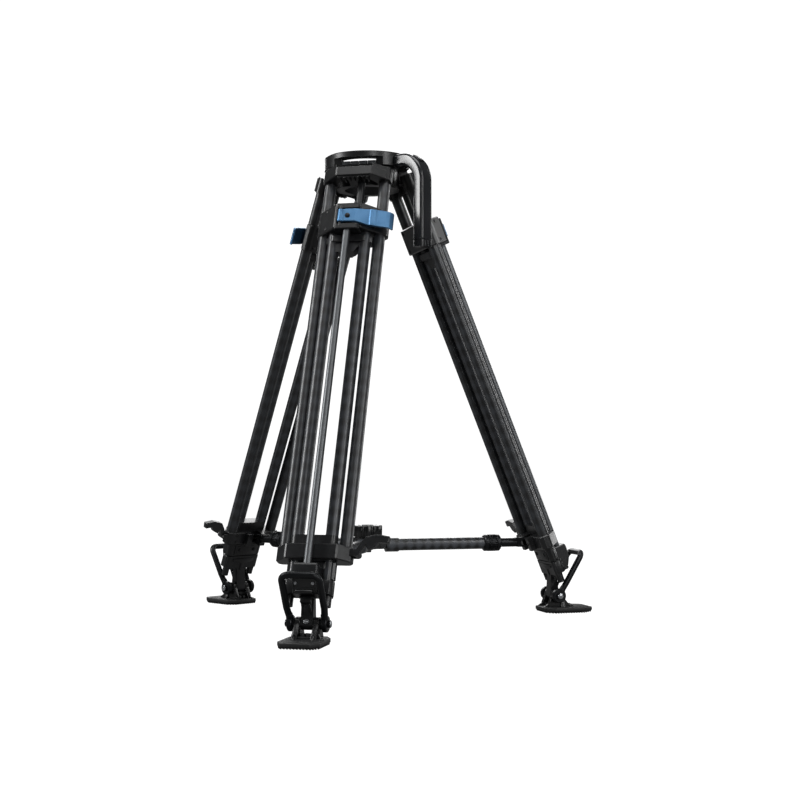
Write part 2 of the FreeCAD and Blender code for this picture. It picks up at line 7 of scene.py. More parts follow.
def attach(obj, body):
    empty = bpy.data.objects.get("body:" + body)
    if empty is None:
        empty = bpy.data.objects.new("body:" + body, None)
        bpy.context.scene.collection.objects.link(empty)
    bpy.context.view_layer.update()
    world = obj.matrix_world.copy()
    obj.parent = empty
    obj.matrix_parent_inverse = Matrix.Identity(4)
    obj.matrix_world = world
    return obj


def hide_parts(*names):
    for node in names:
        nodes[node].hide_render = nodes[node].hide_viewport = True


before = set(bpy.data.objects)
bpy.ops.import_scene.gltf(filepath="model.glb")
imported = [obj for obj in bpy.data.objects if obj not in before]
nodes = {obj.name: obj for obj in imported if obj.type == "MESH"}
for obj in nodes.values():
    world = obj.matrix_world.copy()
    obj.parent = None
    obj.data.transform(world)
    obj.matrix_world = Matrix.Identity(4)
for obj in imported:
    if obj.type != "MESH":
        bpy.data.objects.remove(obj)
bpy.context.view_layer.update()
scene = bpy.context.scene
print("frame loaded:", len(nodes), "nodes")

# Lengths below are millimetres, as in the CAD, until a shape is put in its place.
mm = 0.001
legs = {"front": 0.0, "right": 120.0, "left": -120.0}
tripod = {"lean": 22.0, "crownY": 71.11, "refRadius": 43.7, "refHeight": 700.0, "armHeight": 112.5}
leanSin, leanCos = math.sin(math.radians(tripod["lean"])), math.cos(math.radians(tripod["lean"]))


def legFrame(side):  # u across the leg, v square out of it, w down it
    turn = math.radians(legs[side])
    out = Vector((math.sin(turn), -math.cos(turn), 0))
    across = Vector((math.cos(turn), math.sin(turn), 0))
    square = out * leanCos + Vector((0, 0, leanSin))
    down = out * leanSin - Vector((0, 0, leanCos))
    made = Matrix((across, square, down)).transposed().to_4x4()
    made.translation = out * tripod["refRadius"] + Vector((0, tripod["crownY"], tripod["refHeight"]))
    return Matrix.Scale(mm, 4) @ made


def levelFrame(turn):  # upright about the crown's axis, with the front leg towards -y
    shift = Matrix.Translation((0, tripod["crownY"], 0))
    return Matrix.Scale(mm, 4) @ shift @ Matrix.Rotation(math.radians(turn), 4, "Z")


def legPoint(radius, height):
    out, drop = radius - tripod["refRadius"], tripod["refHeight"] - height
    return out * leanCos - drop * leanSin, out * leanSin + drop * leanCos


ankle = {"out": 309.3, "height": 27.9, "bore": 4.15, "boltEnd": 31.0, "headRadius": 4.4, "plateHalf": 7.6}
ankleV, ankleW = legPoint(ankle["out"], ankle["height"])

# Shaping tools
turnTo = {"u": Matrix.Rotation(math.pi / 2, 4, "Y"), "v": Matrix.Rotation(-math.pi / 2, 4, "X"),
          "w": Matrix.Identity(4)}


def soften(shape, verts, size, steps=2):  # rounds the hard edges among these vertices
    inside = set(verts)
    hard = {e for v in inside for e in v.link_edges
            if e.other_vert(v) in inside and e.calc_face_angle(0) > math.radians(25)}
    bmesh.ops.bevel(shape, geom=list(hard), offset=size, offset_type="OFFSET", segments=steps,
                    profile=0.5, affect="EDGES", material=-1, clamp_overlap=True)


def block(shape, low, high, ease=0.0, place=None):
    middle = [(a + b) / 2 for a, b in zip(low, high)]
    size = [b - a for a, b in zip(low, high)]
    made = bmesh.ops.create_cube(shape, size=1.0, matrix=(place or Matrix.Identity(4))
                                 @ Matrix.Translation(middle) @ Matrix.Diagonal((*size, 1)))
    if ease:
        soften(shape, made["verts"], ease)


def drum(shape, centre, along, radius, length, ease=0.0, sides=40, tip=None, place=None):
    made = bmesh.ops.create_cone(shape, cap_ends=True, cap_tris=False, segments=sides, radius1=radius,
                                 radius2=radius if tip is None else tip, depth=length,
                                 matrix=(place or Matrix.Identity(4)) @ Matrix.Translation(centre)
                                 @ turnTo[along])
    if ease:
        soften(shape, made["verts"], ease)


def eye(shape, centre, along, radius, bore, length, ease=0.6, steps=48):  # a round boss with a clear bore
    half = length / 2
    profile = [(bore, -half), (radius - ease, -half), (radius, ease - half), (radius, half - ease),
               (radius - ease, half), (bore, half)]
    turn = Matrix.Translation(centre) @ turnTo[along]
    ring = [shape.verts.new(turn @ Vector((r, 0, z))) for r, z in profile]
    edges = [shape.edges.new((ring[i], ring[(i + 1) % len(ring)])) for i in range(len(ring))]
    bmesh.ops.spin(shape, geom=ring + edges, cent=centre, axis=turn.to_3x3() @ Vector((0, 0, 1)),
                   angle=math.tau, steps=steps, use_merge=True)


def plate(shape, outline, along, low, high, ease=0.0, steps=2):  # an outline grown along one direction
    spot = {"u": lambda a, b: (low, a, b), "v": lambda a, b: (a, low, b),
            "w": lambda a, b: (a, b, low)}[along]
    face = shape.faces.new([shape.verts.new(spot(a, b)) for a, b in outline])
    grown = bmesh.ops.extrude_face_region(shape, geom=[face])["geom"]
    tops = [g for g in grown if isinstance(g, bmesh.types.BMVert)]
    step = Vector([high - low if along == each else 0 for each in "uvw"])
    bmesh.ops.translate(shape, verts=tops, vec=step)
    verts = set(tops) | {v for g in grown if isinstance(g, bmesh.types.BMVert)
                         for e in g.link_edges for v in e.verts}
    if ease:
        soften(shape, verts, ease, steps)
    return verts


def mirrorAcross(shape):  # the other side of the leg's middle plane
    made = bmesh.ops.duplicate(shape, geom=list(shape.verts) + list(shape.edges) + list(shape.faces))
    verts = [g for g in made["geom"] if isinstance(g, bmesh.types.BMVert)]
    bmesh.ops.scale(shape, vec=(-1, 1, 1), verts=verts)
    bmesh.ops.reverse_faces(shape, faces=[g for g in made["geom"] if isinstance(g, bmesh.types.BMFace)])


def finishPiece(name, shape, place, body, finish, stands=(), sharp=32):
    bmesh.ops.transform(shape, matrix=place, verts=shape.verts)
    bmesh.ops.recalc_face_normals(shape, faces=shape.faces)
    mesh = bpy.data.meshes.new(name)
    shape.to_mesh(mesh)
    shape.free()
    mesh.materials.append(finish)
    mesh.polygons.foreach_set("use_smooth", [True] * len(mesh.polygons))
    mesh.set_sharp_from_angle(angle=math.radians(sharp))
    made = bpy.data.objects.new(name, mesh)
    scene.collection.objects.link(made)
    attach(made, body)
    if stands:
        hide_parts(*stands)


# Materials
def linear(code):
    parts = [int(code[i:i + 2], 16) / 255 for i in (1, 3, 5)]
    return [*(p / 12.92 if p <= 0.04045 else ((p + 0.055) / 1.055) ** 2.4 for p in parts), 1.0]


def addNode(tree, kind, settings=None, links=None):  # one node with its settings and what feeds it
    made = tree.nodes.new(kind)
    for key, value in (settings or {}).items():
        if isinstance(key, int) or key in made.inputs:
            made.inputs[key].default_value = value
        else:
            setattr(made, key, value)
    for key, source in (links or {}).items():
        tree.links.new(source, made.inputs[key])
    return made


def startMaterial(name, settings):
    made = bpy.data.materials.new(name)
    made.use_nodes = True
    tree = made.node_tree
    tree.nodes.clear()
    shade = addNode(tree, "ShaderNodeBsdfPrincipled", settings)
    addNode(tree, "ShaderNodeOutputMaterial", {}, {"Surface": shade.outputs["BSDF"]})
    return made, tree, shade


def grainMaterial(name, look, settings):
    # Cast, moulded or anodised skin: a fine grain in the surface and slow changes in colour and gloss.
    made, tree, shade = startMaterial(name, settings)
    spot = addNode(tree, "ShaderNodeTexCoord").outputs["Object"]
    grain = addNode(tree, "ShaderNodeTexNoise", {"Scale": 1 / (look["grain"] * mm), "Detail": 3.0,
                                                  "Roughness": 0.6}, {"Vector": spot})
    drift = addNode(tree, "ShaderNodeTexNoise", {"Scale": 1 / (look["drift"] * mm), "Detail": 4.0,
                                                  "Roughness": 0.55}, {"Vector": spot})
    mixed = addNode(tree, "ShaderNodeMix", {"data_type": "RGBA"}, {0: drift.outputs["Fac"]})
    mixed.inputs[6].default_value = linear(look["dark"])
    mixed.inputs[7].default_value = linear(look["light"])
    tree.links.new(mixed.outputs[2], shade.inputs["Base Color"])
    low, high = look["rough"]
    gloss = addNode(tree, "ShaderNodeMapRange", {1: 0.3, 2: 0.7, 3: low, 4: high},
                    {0: drift.outputs["Fac"]})
    tree.links.new(gloss.outputs[0], shade.inputs["Roughness"])
    bump = addNode(tree, "ShaderNodeBump", {"Strength": look["bump"], "Distance": look["grain"] * 0.25 * mm},
                   {"Height": grain.outputs["Fac"]})
    tree.links.new(bump.outputs["Normal"], shade.inputs["Normal"])
    return made


weave = {"low": -0.35, "high": 0.95, "fibres": 0.62, "towScale": (900, 900, 60), "glossSwing": 0.04}


def carbonMaterial(name, look, toTube):
    # Filament-wound carbon tube under clear lacquer: crossing bands show as rows of long diamonds. The sheen
    # each band catches is painted into the base colour as lighter and darker diamonds, a painted sheen over
    # the real weave pattern, with a small swing in roughness as well.
    # toTube carries the object's space to the tube's, with z along it.
    made, tree, shade = startMaterial(name, {"Roughness": look["rough"], "IOR": 1.5, "Coat Weight": 0.3,
                                             "Coat Roughness": 0.28})
    spot = addNode(tree, "ShaderNodeTexCoord").outputs["Object"]
    local = addNode(tree, "ShaderNodeMapping",
                    {"Location": toTube.translation, "Rotation": toTube.to_euler()}, {"Vector": spot})
    axes = addNode(tree, "ShaderNodeSeparateXYZ", {}, {0: local.outputs[0]}).outputs
    apart = addNode(tree, "ShaderNodeMath", {"operation": "ABSOLUTE"}, {0: axes[0]})
    apart = addNode(tree, "ShaderNodeMath", {"operation": "SUBTRACT", 1: look["u"] * mm},
                    {0: apart.outputs[0]})
    front = addNode(tree, "ShaderNodeMath", {"operation": "SUBTRACT", 1: look["v"] * mm}, {0: axes[1]})
    angle = addNode(tree, "ShaderNodeMath", {"operation": "ARCTAN2"},
                    {0: front.outputs[0], 1: apart.outputs[0]})
    along = addNode(tree, "ShaderNodeMath", {"operation": "MULTIPLY", 1: math.pi / (look["pitch"] * mm)},
                    {0: axes[2]})
    around = addNode(tree, "ShaderNodeMath", {"operation": "MULTIPLY", 1: look["starts"]},
                     {0: angle.outputs[0]})
    bands = []
    for way in ("ADD", "SUBTRACT"):
        phase = addNode(tree, "ShaderNodeMath", {"operation": way},
                        {0: along.outputs[0], 1: around.outputs[0]})
        bands.append(addNode(tree, "ShaderNodeMath", {"operation": "SINE"}, {0: phase.outputs[0]}))
    diamonds = addNode(tree, "ShaderNodeMath", {"operation": "MULTIPLY"},
                       {0: bands[0].outputs[0], 1: bands[1].outputs[0]})
    tow = addNode(tree, "ShaderNodeMapping", {"Scale": weave["towScale"]}, {"Vector": local.outputs[0]})
    fibres = addNode(tree, "ShaderNodeTexNoise", {"Scale": 1.0, "Detail": 2.0}, {"Vector": tow.outputs[0]})
    pattern = addNode(tree, "ShaderNodeMath", {"operation": "MULTIPLY_ADD", 1: weave["fibres"]},
                      {0: fibres.outputs["Fac"], 2: diamonds.outputs[0]}).outputs[0]
    weaveAndPaintedSheen = addNode(tree, "ShaderNodeMapRange", {1: weave["low"], 2: weave["high"], 3: 0.0, 4: 1.0},
                      {0: pattern})
    # Painted sheen: the weave's diamonds move the base colour between the dark and light colours.
    mixed = addNode(tree, "ShaderNodeMix", {"data_type": "RGBA"}, {0: weaveAndPaintedSheen.outputs[0]})
    mixed.inputs[6].default_value = linear(look["dark"])
    mixed.inputs[7].default_value = linear(look["light"])
    tree.links.new(mixed.outputs[2], shade.inputs["Base Color"])
    gloss = addNode(tree, "ShaderNodeMapRange", {1: weave["low"], 2: weave["high"],
                                                 3: look["rough"] + weave["glossSwing"],
                                                 4: look["rough"] - weave["glossSwing"]}, {0: pattern})
    tree.links.new(gloss.outputs[0], shade.inputs["Roughness"])
    bump = addNode(tree, "ShaderNodeBump", {"Strength": 0.08, "Distance": 0.05 * mm}, {"Height": pattern})
    tree.links.new(bump.outputs["Normal"], shade.inputs["Normal"])
    return made


plain = {"Metallic": 0.0, "IOR": 1.5}
metal = {"Metallic": 1.0}
finishes = {
    # Die-cast aluminium under black powder coat: an even satin with a faint orange-peel grain.
    "casting": grainMaterial("powderCoatedCasting", {
        "grain": 0.9, "drift": 24, "dark": "#0b0b0c", "light": "#131415",
        "rough": (0.28, 0.37), "bump": 0.08}, plain),
    # Glass-filled nylon, moulded: satin charcoal, so its facets read lighter than the tubes.
    "block": grainMaterial("mouldedNylon", {
        "grain": 0.7, "drift": 18, "dark": "#111213", "light": "#1a1b1d",
        "rough": (0.28, 0.36), "bump": 0.06}, plain),
    # Lacquered grip tube: smooth and fairly glossy, with a clean streak of light down it.
    "grip": grainMaterial("lacquerGrip", {
        "grain": 0.8, "drift": 40, "dark": "#1c1d1f", "light": "#252629",
        "rough": (0.17, 0.24), "bump": 0.02}, plain),
    # Blue anodised aluminium: metal under dye, so it darkens where it turns from the light.
    "lever": grainMaterial("blueAnodised", {
        "grain": 0.5, "drift": 12, "dark": "#44709a", "light": "#5c86ab",
        "rough": (0.32, 0.44), "bump": 0.15}, {"Metallic": 0.75}),
    # Clear anodised drawn aluminium: pale and softly shiny.
    "rod": grainMaterial("clearAnodised", {
        "grain": 0.4, "drift": 30, "dark": "#5b5d5f", "light": "#6c6e70",
        "rough": (0.4, 0.48), "bump": 0.05}, metal),
    # Zinc-plated steel: bright, with small hard highlights.
    "steel": grainMaterial("zincSteel", {
        "grain": 0.3, "drift": 6, "dark": "#9b9ea2", "light": "#c6c9cc",
        "rough": (0.2, 0.34), "bump": 0.1}, metal),
    # Moulded rubber: matt, with a dusty lift on its edges.
    "rubber": grainMaterial("mouldedRubber", {
        "grain": 0.6, "drift": 10, "dark": "#0f1011", "light": "#1a1b1c",
        "rough": (0.5, 0.64), "bump": 0.4}, plain),
    # Phenolic knob: polished black, nearly a mirror on its lobes.
    "knob": grainMaterial("polishedPhenolic", {
        "grain": 1.5, "drift": 20, "dark": "#0d0e0f", "light": "#131415",
        "rough": (0.14, 0.22), "bump": 0.04}, plain),
    # Bare die-cast stop blocks inside the crown: a duller grey metal than the rods.
    "tooth": grainMaterial("bareCasting", {
        "grain": 0.6, "drift": 8, "dark": "#3d3f41", "light": "#55585b",
        "rough": (0.4, 0.52), "bump": 0.2}, {"Metallic": 0.6}),
    # Black anodised turned aluminium: dark metal with a soft sheen round it.
    "ring": grainMaterial("blackAnodised", {
        "grain": 0.5, "drift": 14, "dark": "#121315", "light": "#1d1f22",
        "rough": (0.28, 0.4), "bump": 0.12}, {"Metallic": 0.6}),
}

# Each tube's dark and light colours are the two ends of the painted sheen across its weave's diamonds.
tubeLook = {
    "outer_tubes": {"u": 42.5, "v": 0.0, "pitch": 22.0, "starts": 3, "dark": "#111214", "light": "#2e3135",
                    "rough": 0.42},
    "inner_tubes": {"u": 24.0, "v": 9.1, "pitch": 22.0, "starts": 3, "dark": "#121315", "light": "#32353a",
                    "rough": 0.42},
    "lower_tubes": {"u": 24.0, "v": 9.1, "pitch": 18.0, "starts": 2, "dark": "#111214", "light": "#2e3135",
                    "rough": 0.34}}
armLook = {"u": 0.0, "v": 0.0, "pitch": 14.7, "starts": 2, "dark": "#090a0b", "light": "#4b4e53",
           "rough": 0.3}


def unscaled(place):  # the same place as a rigid move in metres
    made = Matrix.Scale(1 / mm, 4) @ place
    made.translation *= mm
    return made


for side in legs:
    toLeg = unscaled(legFrame(side)).inverted()
    for tube, look in tubeLook.items():
        finishes[side + "_" + tube] = carbonMaterial("woundCarbon_" + side + "_" + tube, look, toLeg)
    spoke = (levelFrame(legs[side]) @ Matrix.Translation((0, 0, tripod["armHeight"]))
             @ Matrix.Rotation(math.pi / 2, 4, "X"))
    finishes[side + "_arm"] = carbonMaterial("woundCarbon_" + side + "_arm", armLook,
                                             unscaled(spoke).inverted())
print("materials made:", len(finishes))

nodeFinish = {"crown": "casting", "yoke_pins": "ring", "spread_locks": "tooth", "carry_handle": "grip",
              "spreader_hub": "block", "hub_knob": "knob"}
legFinish = {"yoke": "casting", "clamp_block": "block", "clamp_lever": "lever", "control_rod": "rod",
             "collar_block": "block", "thumb_lever": "block", "slider": "block", "mid_block": "block",
             "foot_block": "block", "foot_bolt": "ring", "bail": "ring", "foot_pad": "rubber",
             "arm_collar": "ring", "arm_rod": "ring"}
for side in legs:
    for part, finish in legFinish.items():
        nodeFinish[side + "_" + part] = finish
    for tube in tubeLook:
        nodeFinish[side + "_" + tube] = side + "_" + tube
    nodeFinish[side + "_arm_tube"] = side + "_arm"
for name, node in nodes.items():
    node.data.materials.clear()
    node.data.materials.append(finishes[nodeFinish[name]])
    node.data.polygons.foreach_set("material_index", [0] * len(node.data.polygons))
print("frame nodes finished")

# Foot pads: a bevelled sole plate, a tread of separate teeth and two ears for the ankle bolt
pad = {"middle": -327.5, "halfLong": 40.5, "halfWide": 29.5, "end": 21.0, "straight": 24.5, "top": 9.5,
       "tooth": 4.4, "toothDeep": 3.0, "curl": 0.9, "curlFrom": 22.0}


def padLift(away):  # how far the sole curls up towards its two ends
    return pad["curl"] * max(0.0, (away - pad["curlFrom"]) / (pad["halfLong"] - pad["curlFrom"])) ** 2


def padWidth(away):  # half the sole's width at a distance from its middle
    share = max(0.0, (away - pad["straight"]) / (pad["halfLong"] - pad["straight"]))
    return pad["halfWide"] + (pad["end"] - pad["halfWide"]) * share


def footPad(side):
    shape = bmesh.new()
    half = [(pad["end"], -pad["halfLong"]), (pad["halfWide"], -pad["straight"]),
            (pad["halfWide"], pad["straight"]), (pad["end"], pad["halfLong"])]
    outline = [(x, pad["middle"] + y) for x, y in half] + [(-x, pad["middle"] + y) for x, y in reversed(half)]
    plate(shape, outline, "w", pad["toothDeep"], pad["top"] - 0.6, 1.3, 3)
    inner = [(x * 0.86, pad["middle"] + (y - pad["middle"]) * 0.88) for x, y in outline]
    plate(shape, inner, "w", pad["top"] - 2.4, pad["top"], 0.8)
    rows = round(pad["halfLong"] * 2 / pad["tooth"])
    for row in range(rows):
        away = (row - (rows - 1) / 2) * pad["tooth"]
        wide = padWidth(abs(away)) - 0.4
        count = round(wide * 2 / pad["tooth"])
        size = wide * 2 / count
        for column in range(count):
            x = -wide + (column + 0.5) * size
            low = padLift(abs(away))
            root = pad["toothDeep"] + 0.6
            made = bmesh.ops.create_cube(shape, size=1.0, matrix=Matrix.Translation(
                (x, pad["middle"] + away, (low + root) / 2))
                @ Matrix.Diagonal((size * 0.68, pad["tooth"] * 0.66, root - low, 1)))
            tips = [v for v in made["verts"] if v.co.z < low + 0.01]
            bmesh.ops.scale(shape, vec=(0.55, 0.55, 1), verts=tips,
                            space=Matrix.Translation((-x, -pad["middle"] - away, 0)))
    finishPiece(side + "_pad_sole", shape, levelFrame(legs[side]), side + "_foot_pad", finishes["rubber"],
                [side + "_foot_pad"])


def padEars(side):
    shape = bmesh.new()
    y, z = -ankle["out"], ankle["height"]
    foot = pad["top"] - 0.4
    seat = [(y + 6.4 * math.cos(math.radians(a)), z + 6.4 * math.sin(math.radians(a)))
            for a in range(186, 356, 14)]  # a notch round the bolt
    plate(shape, [(y - 24, pad["top"] - 0.5), (y - 8.4, z + 0.6)] + seat
          + [(y + 8.4, z + 0.6), (y + 16, pad["top"] - 0.5)], "u", 9.4, 16.8, 0.5)
    eye(shape, (13.1, y, z), "u", 8.9, ankle["bore"], 7.4, 0.8)
    plate(shape, [(9.4, z - 6), (16.6, z - 6), (21.0, foot), (9.4, foot)], "v", y - 14, y - 5,
          0.8)  # the ears flare out to their feet
    plate(shape, [(y - 31, foot), (y - 22, pad["top"] + 6), (y - 12, foot)], "u", 11.4, 14.8, 0.6)
    plate(shape, [(y + 12, foot), (y + 14, pad["top"] + 5), (y + 22, foot)], "u", 11.4, 14.8, 0.6)
    mirrorAcross(shape)
    finishPiece(side + "_pad_ears", shape, levelFrame(legs[side]), side + "_foot_pad", finishes["casting"])


# Bails: a bent round bar with rounded corners on two flat bosses
bailBar = {"radius": 4.7, "half": 26.1, "reach": 78.2, "corner": 10.0, "foot": 24.2, "start": 8.0,
           "kneeAt": 25.0, "boss": 11.2, "lean": math.atan2(0.61, 0.79)}


def bail(side):
    shape = bmesh.new()
    straight = bailBar["reach"] - bailBar["corner"]
    ring = bmesh.ops.create_circle(shape, cap_ends=False, segments=20, radius=bailBar["radius"],
                                   matrix=Matrix.Translation((bailBar["half"], bailBar["start"], 0))
                                   @ turnTo["v"])
    edges = list({e for v in ring["verts"] for e in v.link_edges})
    for step in (bailBar["kneeAt"] - bailBar["start"], straight - bailBar["kneeAt"]):
        grown = bmesh.ops.extrude_edge_only(shape, edges=edges)["geom"]
        bmesh.ops.translate(shape, verts=[g for g in grown if isinstance(g, bmesh.types.BMVert)],
                            vec=(0, step, 0))
        edges = [g for g in grown if isinstance(g, bmesh.types.BMEdge) and len(g.link_faces) == 1]
    turned = bmesh.ops.spin(shape, geom=edges, cent=(bailBar["half"] - bailBar["corner"], straight, 0),
                            axis=(0, 0, 1), angle=math.pi / 2, steps=8, use_duplicate=False)
    edges = [g for g in turned["geom_last"] if isinstance(g, bmesh.types.BMEdge)]
    grown = bmesh.ops.extrude_edge_only(shape, edges=edges)["geom"]
    for v in [g for g in grown if isinstance(g, bmesh.types.BMVert)]:
        v.co.x = 0
    for v in shape.verts:  # the arms draw in to their bosses below the knee
        if v.co.y < bailBar["kneeAt"] - 0.1:
            v.co.x += bailBar["foot"] - bailBar["half"]
    mirrorAcross(shape)
    bmesh.ops.remove_doubles(shape, verts=shape.verts, dist=0.01)
    bmesh.ops.holes_fill(shape, edges=shape.edges, sides=0)
    for way in (-1, 1):
        eye(shape, (way * bailBar["foot"], 0, 0), "u", bailBar["boss"], ankle["bore"], 7.2, 1.2)
        drum(shape, (way * bailBar["foot"], 12.0, 0), "v", 5.4, 8.0, 0.6, tip=4.6)
    place = (legFrame(side) @ Matrix.Translation((0, ankleV, ankleW))
             @ Matrix.Rotation(-bailBar["lean"], 4, "X"))
    finishPiece(side + "_bail_bar", shape, place, side + "_bail", finishes["ring"],
                [side + "_bail"])


# Clamp levers: folded blue plate, narrow at the pin and curled at the finger end
lever = {"pin": (-10.0, 35.5, 116.5), "pinBore": 2.15, "top": 104.5, "bottom": 131.5, "rootTop": 106.2,
         "rootBottom": 127.0, "taperTo": 34.0, "taper": 19.0, "screw": (1.5, 39.2, 117.7)}


def clampLever(side):
    shape = bmesh.new()
    front = [(-6.9, 38.6), (-2, 39.2), (13, 38.6), (20, 36.4), (33.6, 31.7), (34.8, 32.5), (43.0, 29.9),
             (44.2, 28.5), (56, 24.8), (62, 21.4), (65.6, 17.4), (66.4, 14.0)]
    back = [(63.6, 13.2), (62.4, 15.6), (60, 18.4), (54, 20.8), (43, 24.4), (35, 26.6), (19, 32.4),
            (13, 34.2), (-6.9, 34.2)]
    verts = plate(shape, front + back, "w", lever["top"], lever["bottom"])
    for v in verts:  # the blade narrows towards its pin
        share = min(1.0, max(0.0, (lever["taperTo"] - v.co.x) / lever["taper"]))
        edge = lever["rootTop"] if v.co.z < 118 else lever["rootBottom"]
        v.co.z += (edge - v.co.z) * share
    soften(shape, verts, 0.7)
    eye(shape, lever["pin"], "w", 4.5, lever["pinBore"], 20.6)
    for w in (111.4, 124.6):  # pressed stiffening ribs along the mid part
        plate(shape, [(23, 35.3), (42, 29.0), (52, 26.0), (52, 25.0), (42, 28.0), (23, 34.0)], "w",
              w - 0.9, w + 0.9, 0.3)
    finishPiece(side + "_lever_blade", shape, legFrame(side), side + "_clamp_lever", finishes["lever"],
                [side + "_clamp_lever"], 9)
    screw = bmesh.new()
    u, v, w = lever["screw"]
    drum(screw, (u, v, w), "v", 4.0, 1.4, 0.4)
    drum(screw, (u, v + 0.6, w), "v", 2.6, 1.0, 0.1, sides=6)
    finishPiece(side + "_lever_screw", screw, legFrame(side), side + "_clamp_lever", finishes["ring"])


# Twist collars of the spreader arms: chamfered ends and a ribbed grip band
twist = {"near": 190.0, "far": 217.0, "radius": 13.4, "ribs": 30}


def twistCollar(side):
    shape = bmesh.new()
    near, far, height = twist["near"], twist["far"], tripod["armHeight"]
    profile = [(9.9, near), (11.4, near), (13.0, near + 1.6), (13.0, near + 6), (11.9, near + 7),
               (11.9, far - 7), (13.0, far - 6), (13.0, far - 1.6), (11.4, far), (7.5, far), (7.5, near + 12),
               (9.9, near + 12)]
    ring = [shape.verts.new((r, -y, height)) for r, y in profile]
    edges = [shape.edges.new((ring[i], ring[(i + 1) % len(ring)])) for i in range(len(ring))]
    bmesh.ops.spin(shape, geom=ring + edges, cent=(0, 0, height), axis=(0, 1, 0), angle=math.tau, steps=60,
                   use_merge=True)
    for n in range(twist["ribs"]):
        turn = Matrix.Translation((0, 0, height)) @ Matrix.Rotation(math.tau * n / twist["ribs"], 4, "Y")
        block(shape, (-0.75, 7.2 - far, 11.4), (0.75, -near - 7.2, twist["radius"] - 0.2), 0.3, turn)
    finishPiece(side + "_twist_grip", shape, levelFrame(legs[side]), side + "_arm_collar",
                finishes["ring"], [side + "_arm_collar"])


# Hub knob: ten round lobes, a dished top and a centre cap
knob = {"radius": 23.0, "low": 126.0, "high": 144.0, "lobes": 10, "dip": 2.3, "cap": 9.0}


def hubKnob():
    shape = bmesh.new()
    made = bmesh.ops.create_circle(shape, cap_ends=True, segments=160, radius=knob["radius"],
                                   matrix=Matrix.Translation((0, 0, knob["low"])))
    for v in made["verts"]:
        turn = math.atan2(v.co.y, v.co.x) + math.pi / 2
        dip = max(0.0, math.cos(turn * knob["lobes"])) ** 1.5 * knob["dip"]
        v.co.x, v.co.y = (c * (knob["radius"] - dip) / knob["radius"] for c in v.co.xy)
    grown = bmesh.ops.extrude_face_region(shape, geom=shape.faces[:])["geom"]
    bmesh.ops.translate(shape, verts=[g for g in grown if isinstance(g, bmesh.types.BMVert)],
                        vec=(0, 0, knob["high"] - knob["low"] - 1))
    soften(shape, list(shape.verts), 1.4, 3)
    shape.faces.ensure_lookup_table()
    top = max((f for f in shape.faces if len(f.verts) > 100), key=lambda f: f.calc_center_median().z)
    bmesh.ops.inset_region(shape, faces=[top], thickness=4.0, depth=-1.2)
    drum(shape, (0, 0, knob["high"] - 1.6), "w", knob["cap"], 3.2, 0.7, sides=48)
    finishPiece("hub_knob_grip", shape, levelFrame(0), "knob", finishes["knob"], ["hub_knob"])


# Hardware: socket screws, ankle fittings and ribs
def socketScrew(shape, centre, outward, head, socket, place=None):  # a screw head and the hexagon sunk in it
    u, v, w = centre
    drum(shape, centre, "v", head, 1.4, 0.35, place=place)
    drum(shape, (u, v + outward * 0.6, w), "v", socket, 0.6, 0.1, 6, place=place)


def ankleBolt(side):
    shape = bmesh.new()
    for way in (-1, 1):
        drum(shape, (way * (ankle["boltEnd"] + 0.3), ankleV, ankleW), "u", ankle["headRadius"], 1.4, 0.4)
        drum(shape, (way * (ankle["boltEnd"] + 0.7), ankleV, ankleW), "u", 2.1, 1.2, 0.1, 6)
    drum(shape, (0, ankleV + 9.2, ankleW), "v", 3.6, 3.0, 0.6)
    drum(shape, (0, ankleV + 10.6, ankleW), "v", 2.0, 1.4, 0.2, 6)
    finishPiece(side + "_ankle_bolt_ends", shape, legFrame(side), side + "_leg_lower", finishes["steel"])


def ankleFittings(side):
    shape = bmesh.new()  # a lug plate and stiffening webs down the ankle tongue
    block(shape, (-ankle["plateHalf"], 11.6, 693.5), (ankle["plateHalf"], 19.5, 701.0), 0.9)
    block(shape, (-10.5, 9.0, 691.0), (10.5, 16.0, 694.4), 0.9)
    web = [(11, 701), (17.5, 701), (ankleV + 9.2, ankleW - 9), (ankleV + 4, ankleW - 6)]
    plate(shape, web, "u", -6.8, -4.6, 0.5)
    plate(shape, web, "u", 4.6, 6.8, 0.5)
    for way in (-1, 1):  # flat covers over the tube sockets and rounded ends on the plugs
        plate(shape, [(way * 17.9, 3), (way * 17.9, 15.5), (way * 19.5, 17.8), (way * 30.5, 17.8),
                      (way * 34.2, 13.0), (way * 34.2, 4), (way * 32, 3)], "w", 668.4, 688.5, 0.9)
        drum(shape, (way * 26.5, 6.2, 701.9), "w", 5.75, 2.2, 1.0)
    finishPiece(side + "_ankle_fittings", shape, legFrame(side), side + "_leg_lower", finishes["block"])


def padBumpers(side):
    shape = bmesh.new()  # two rubber stops between the ears and a web across them
    y, foot = -ankle["out"], pad["top"] - 0.4
    for x in (-4.4, 4.4):
        block(shape, (x - 2.7, y - 15, foot), (x + 2.7, y - 6, pad["top"] + 6.4), 1.1)
        block(shape, (x - 2.7, y + 5, foot), (x + 2.7, y + 12, pad["top"] + 4.4), 1.1)
    block(shape, (-9.4, y - 19.4, foot), (9.4, y - 16.6, pad["top"] + 3.0), 0.7)
    finishPiece(side + "_pad_bumpers", shape, levelFrame(legs[side]), side + "_foot_pad",
                finishes["rubber"])


bump = {"at": (0, 32.8, 679.7), "lean": math.atan2(38.6 - 27.0, 690.5 - 669.0), "hookHalf": 12.0}


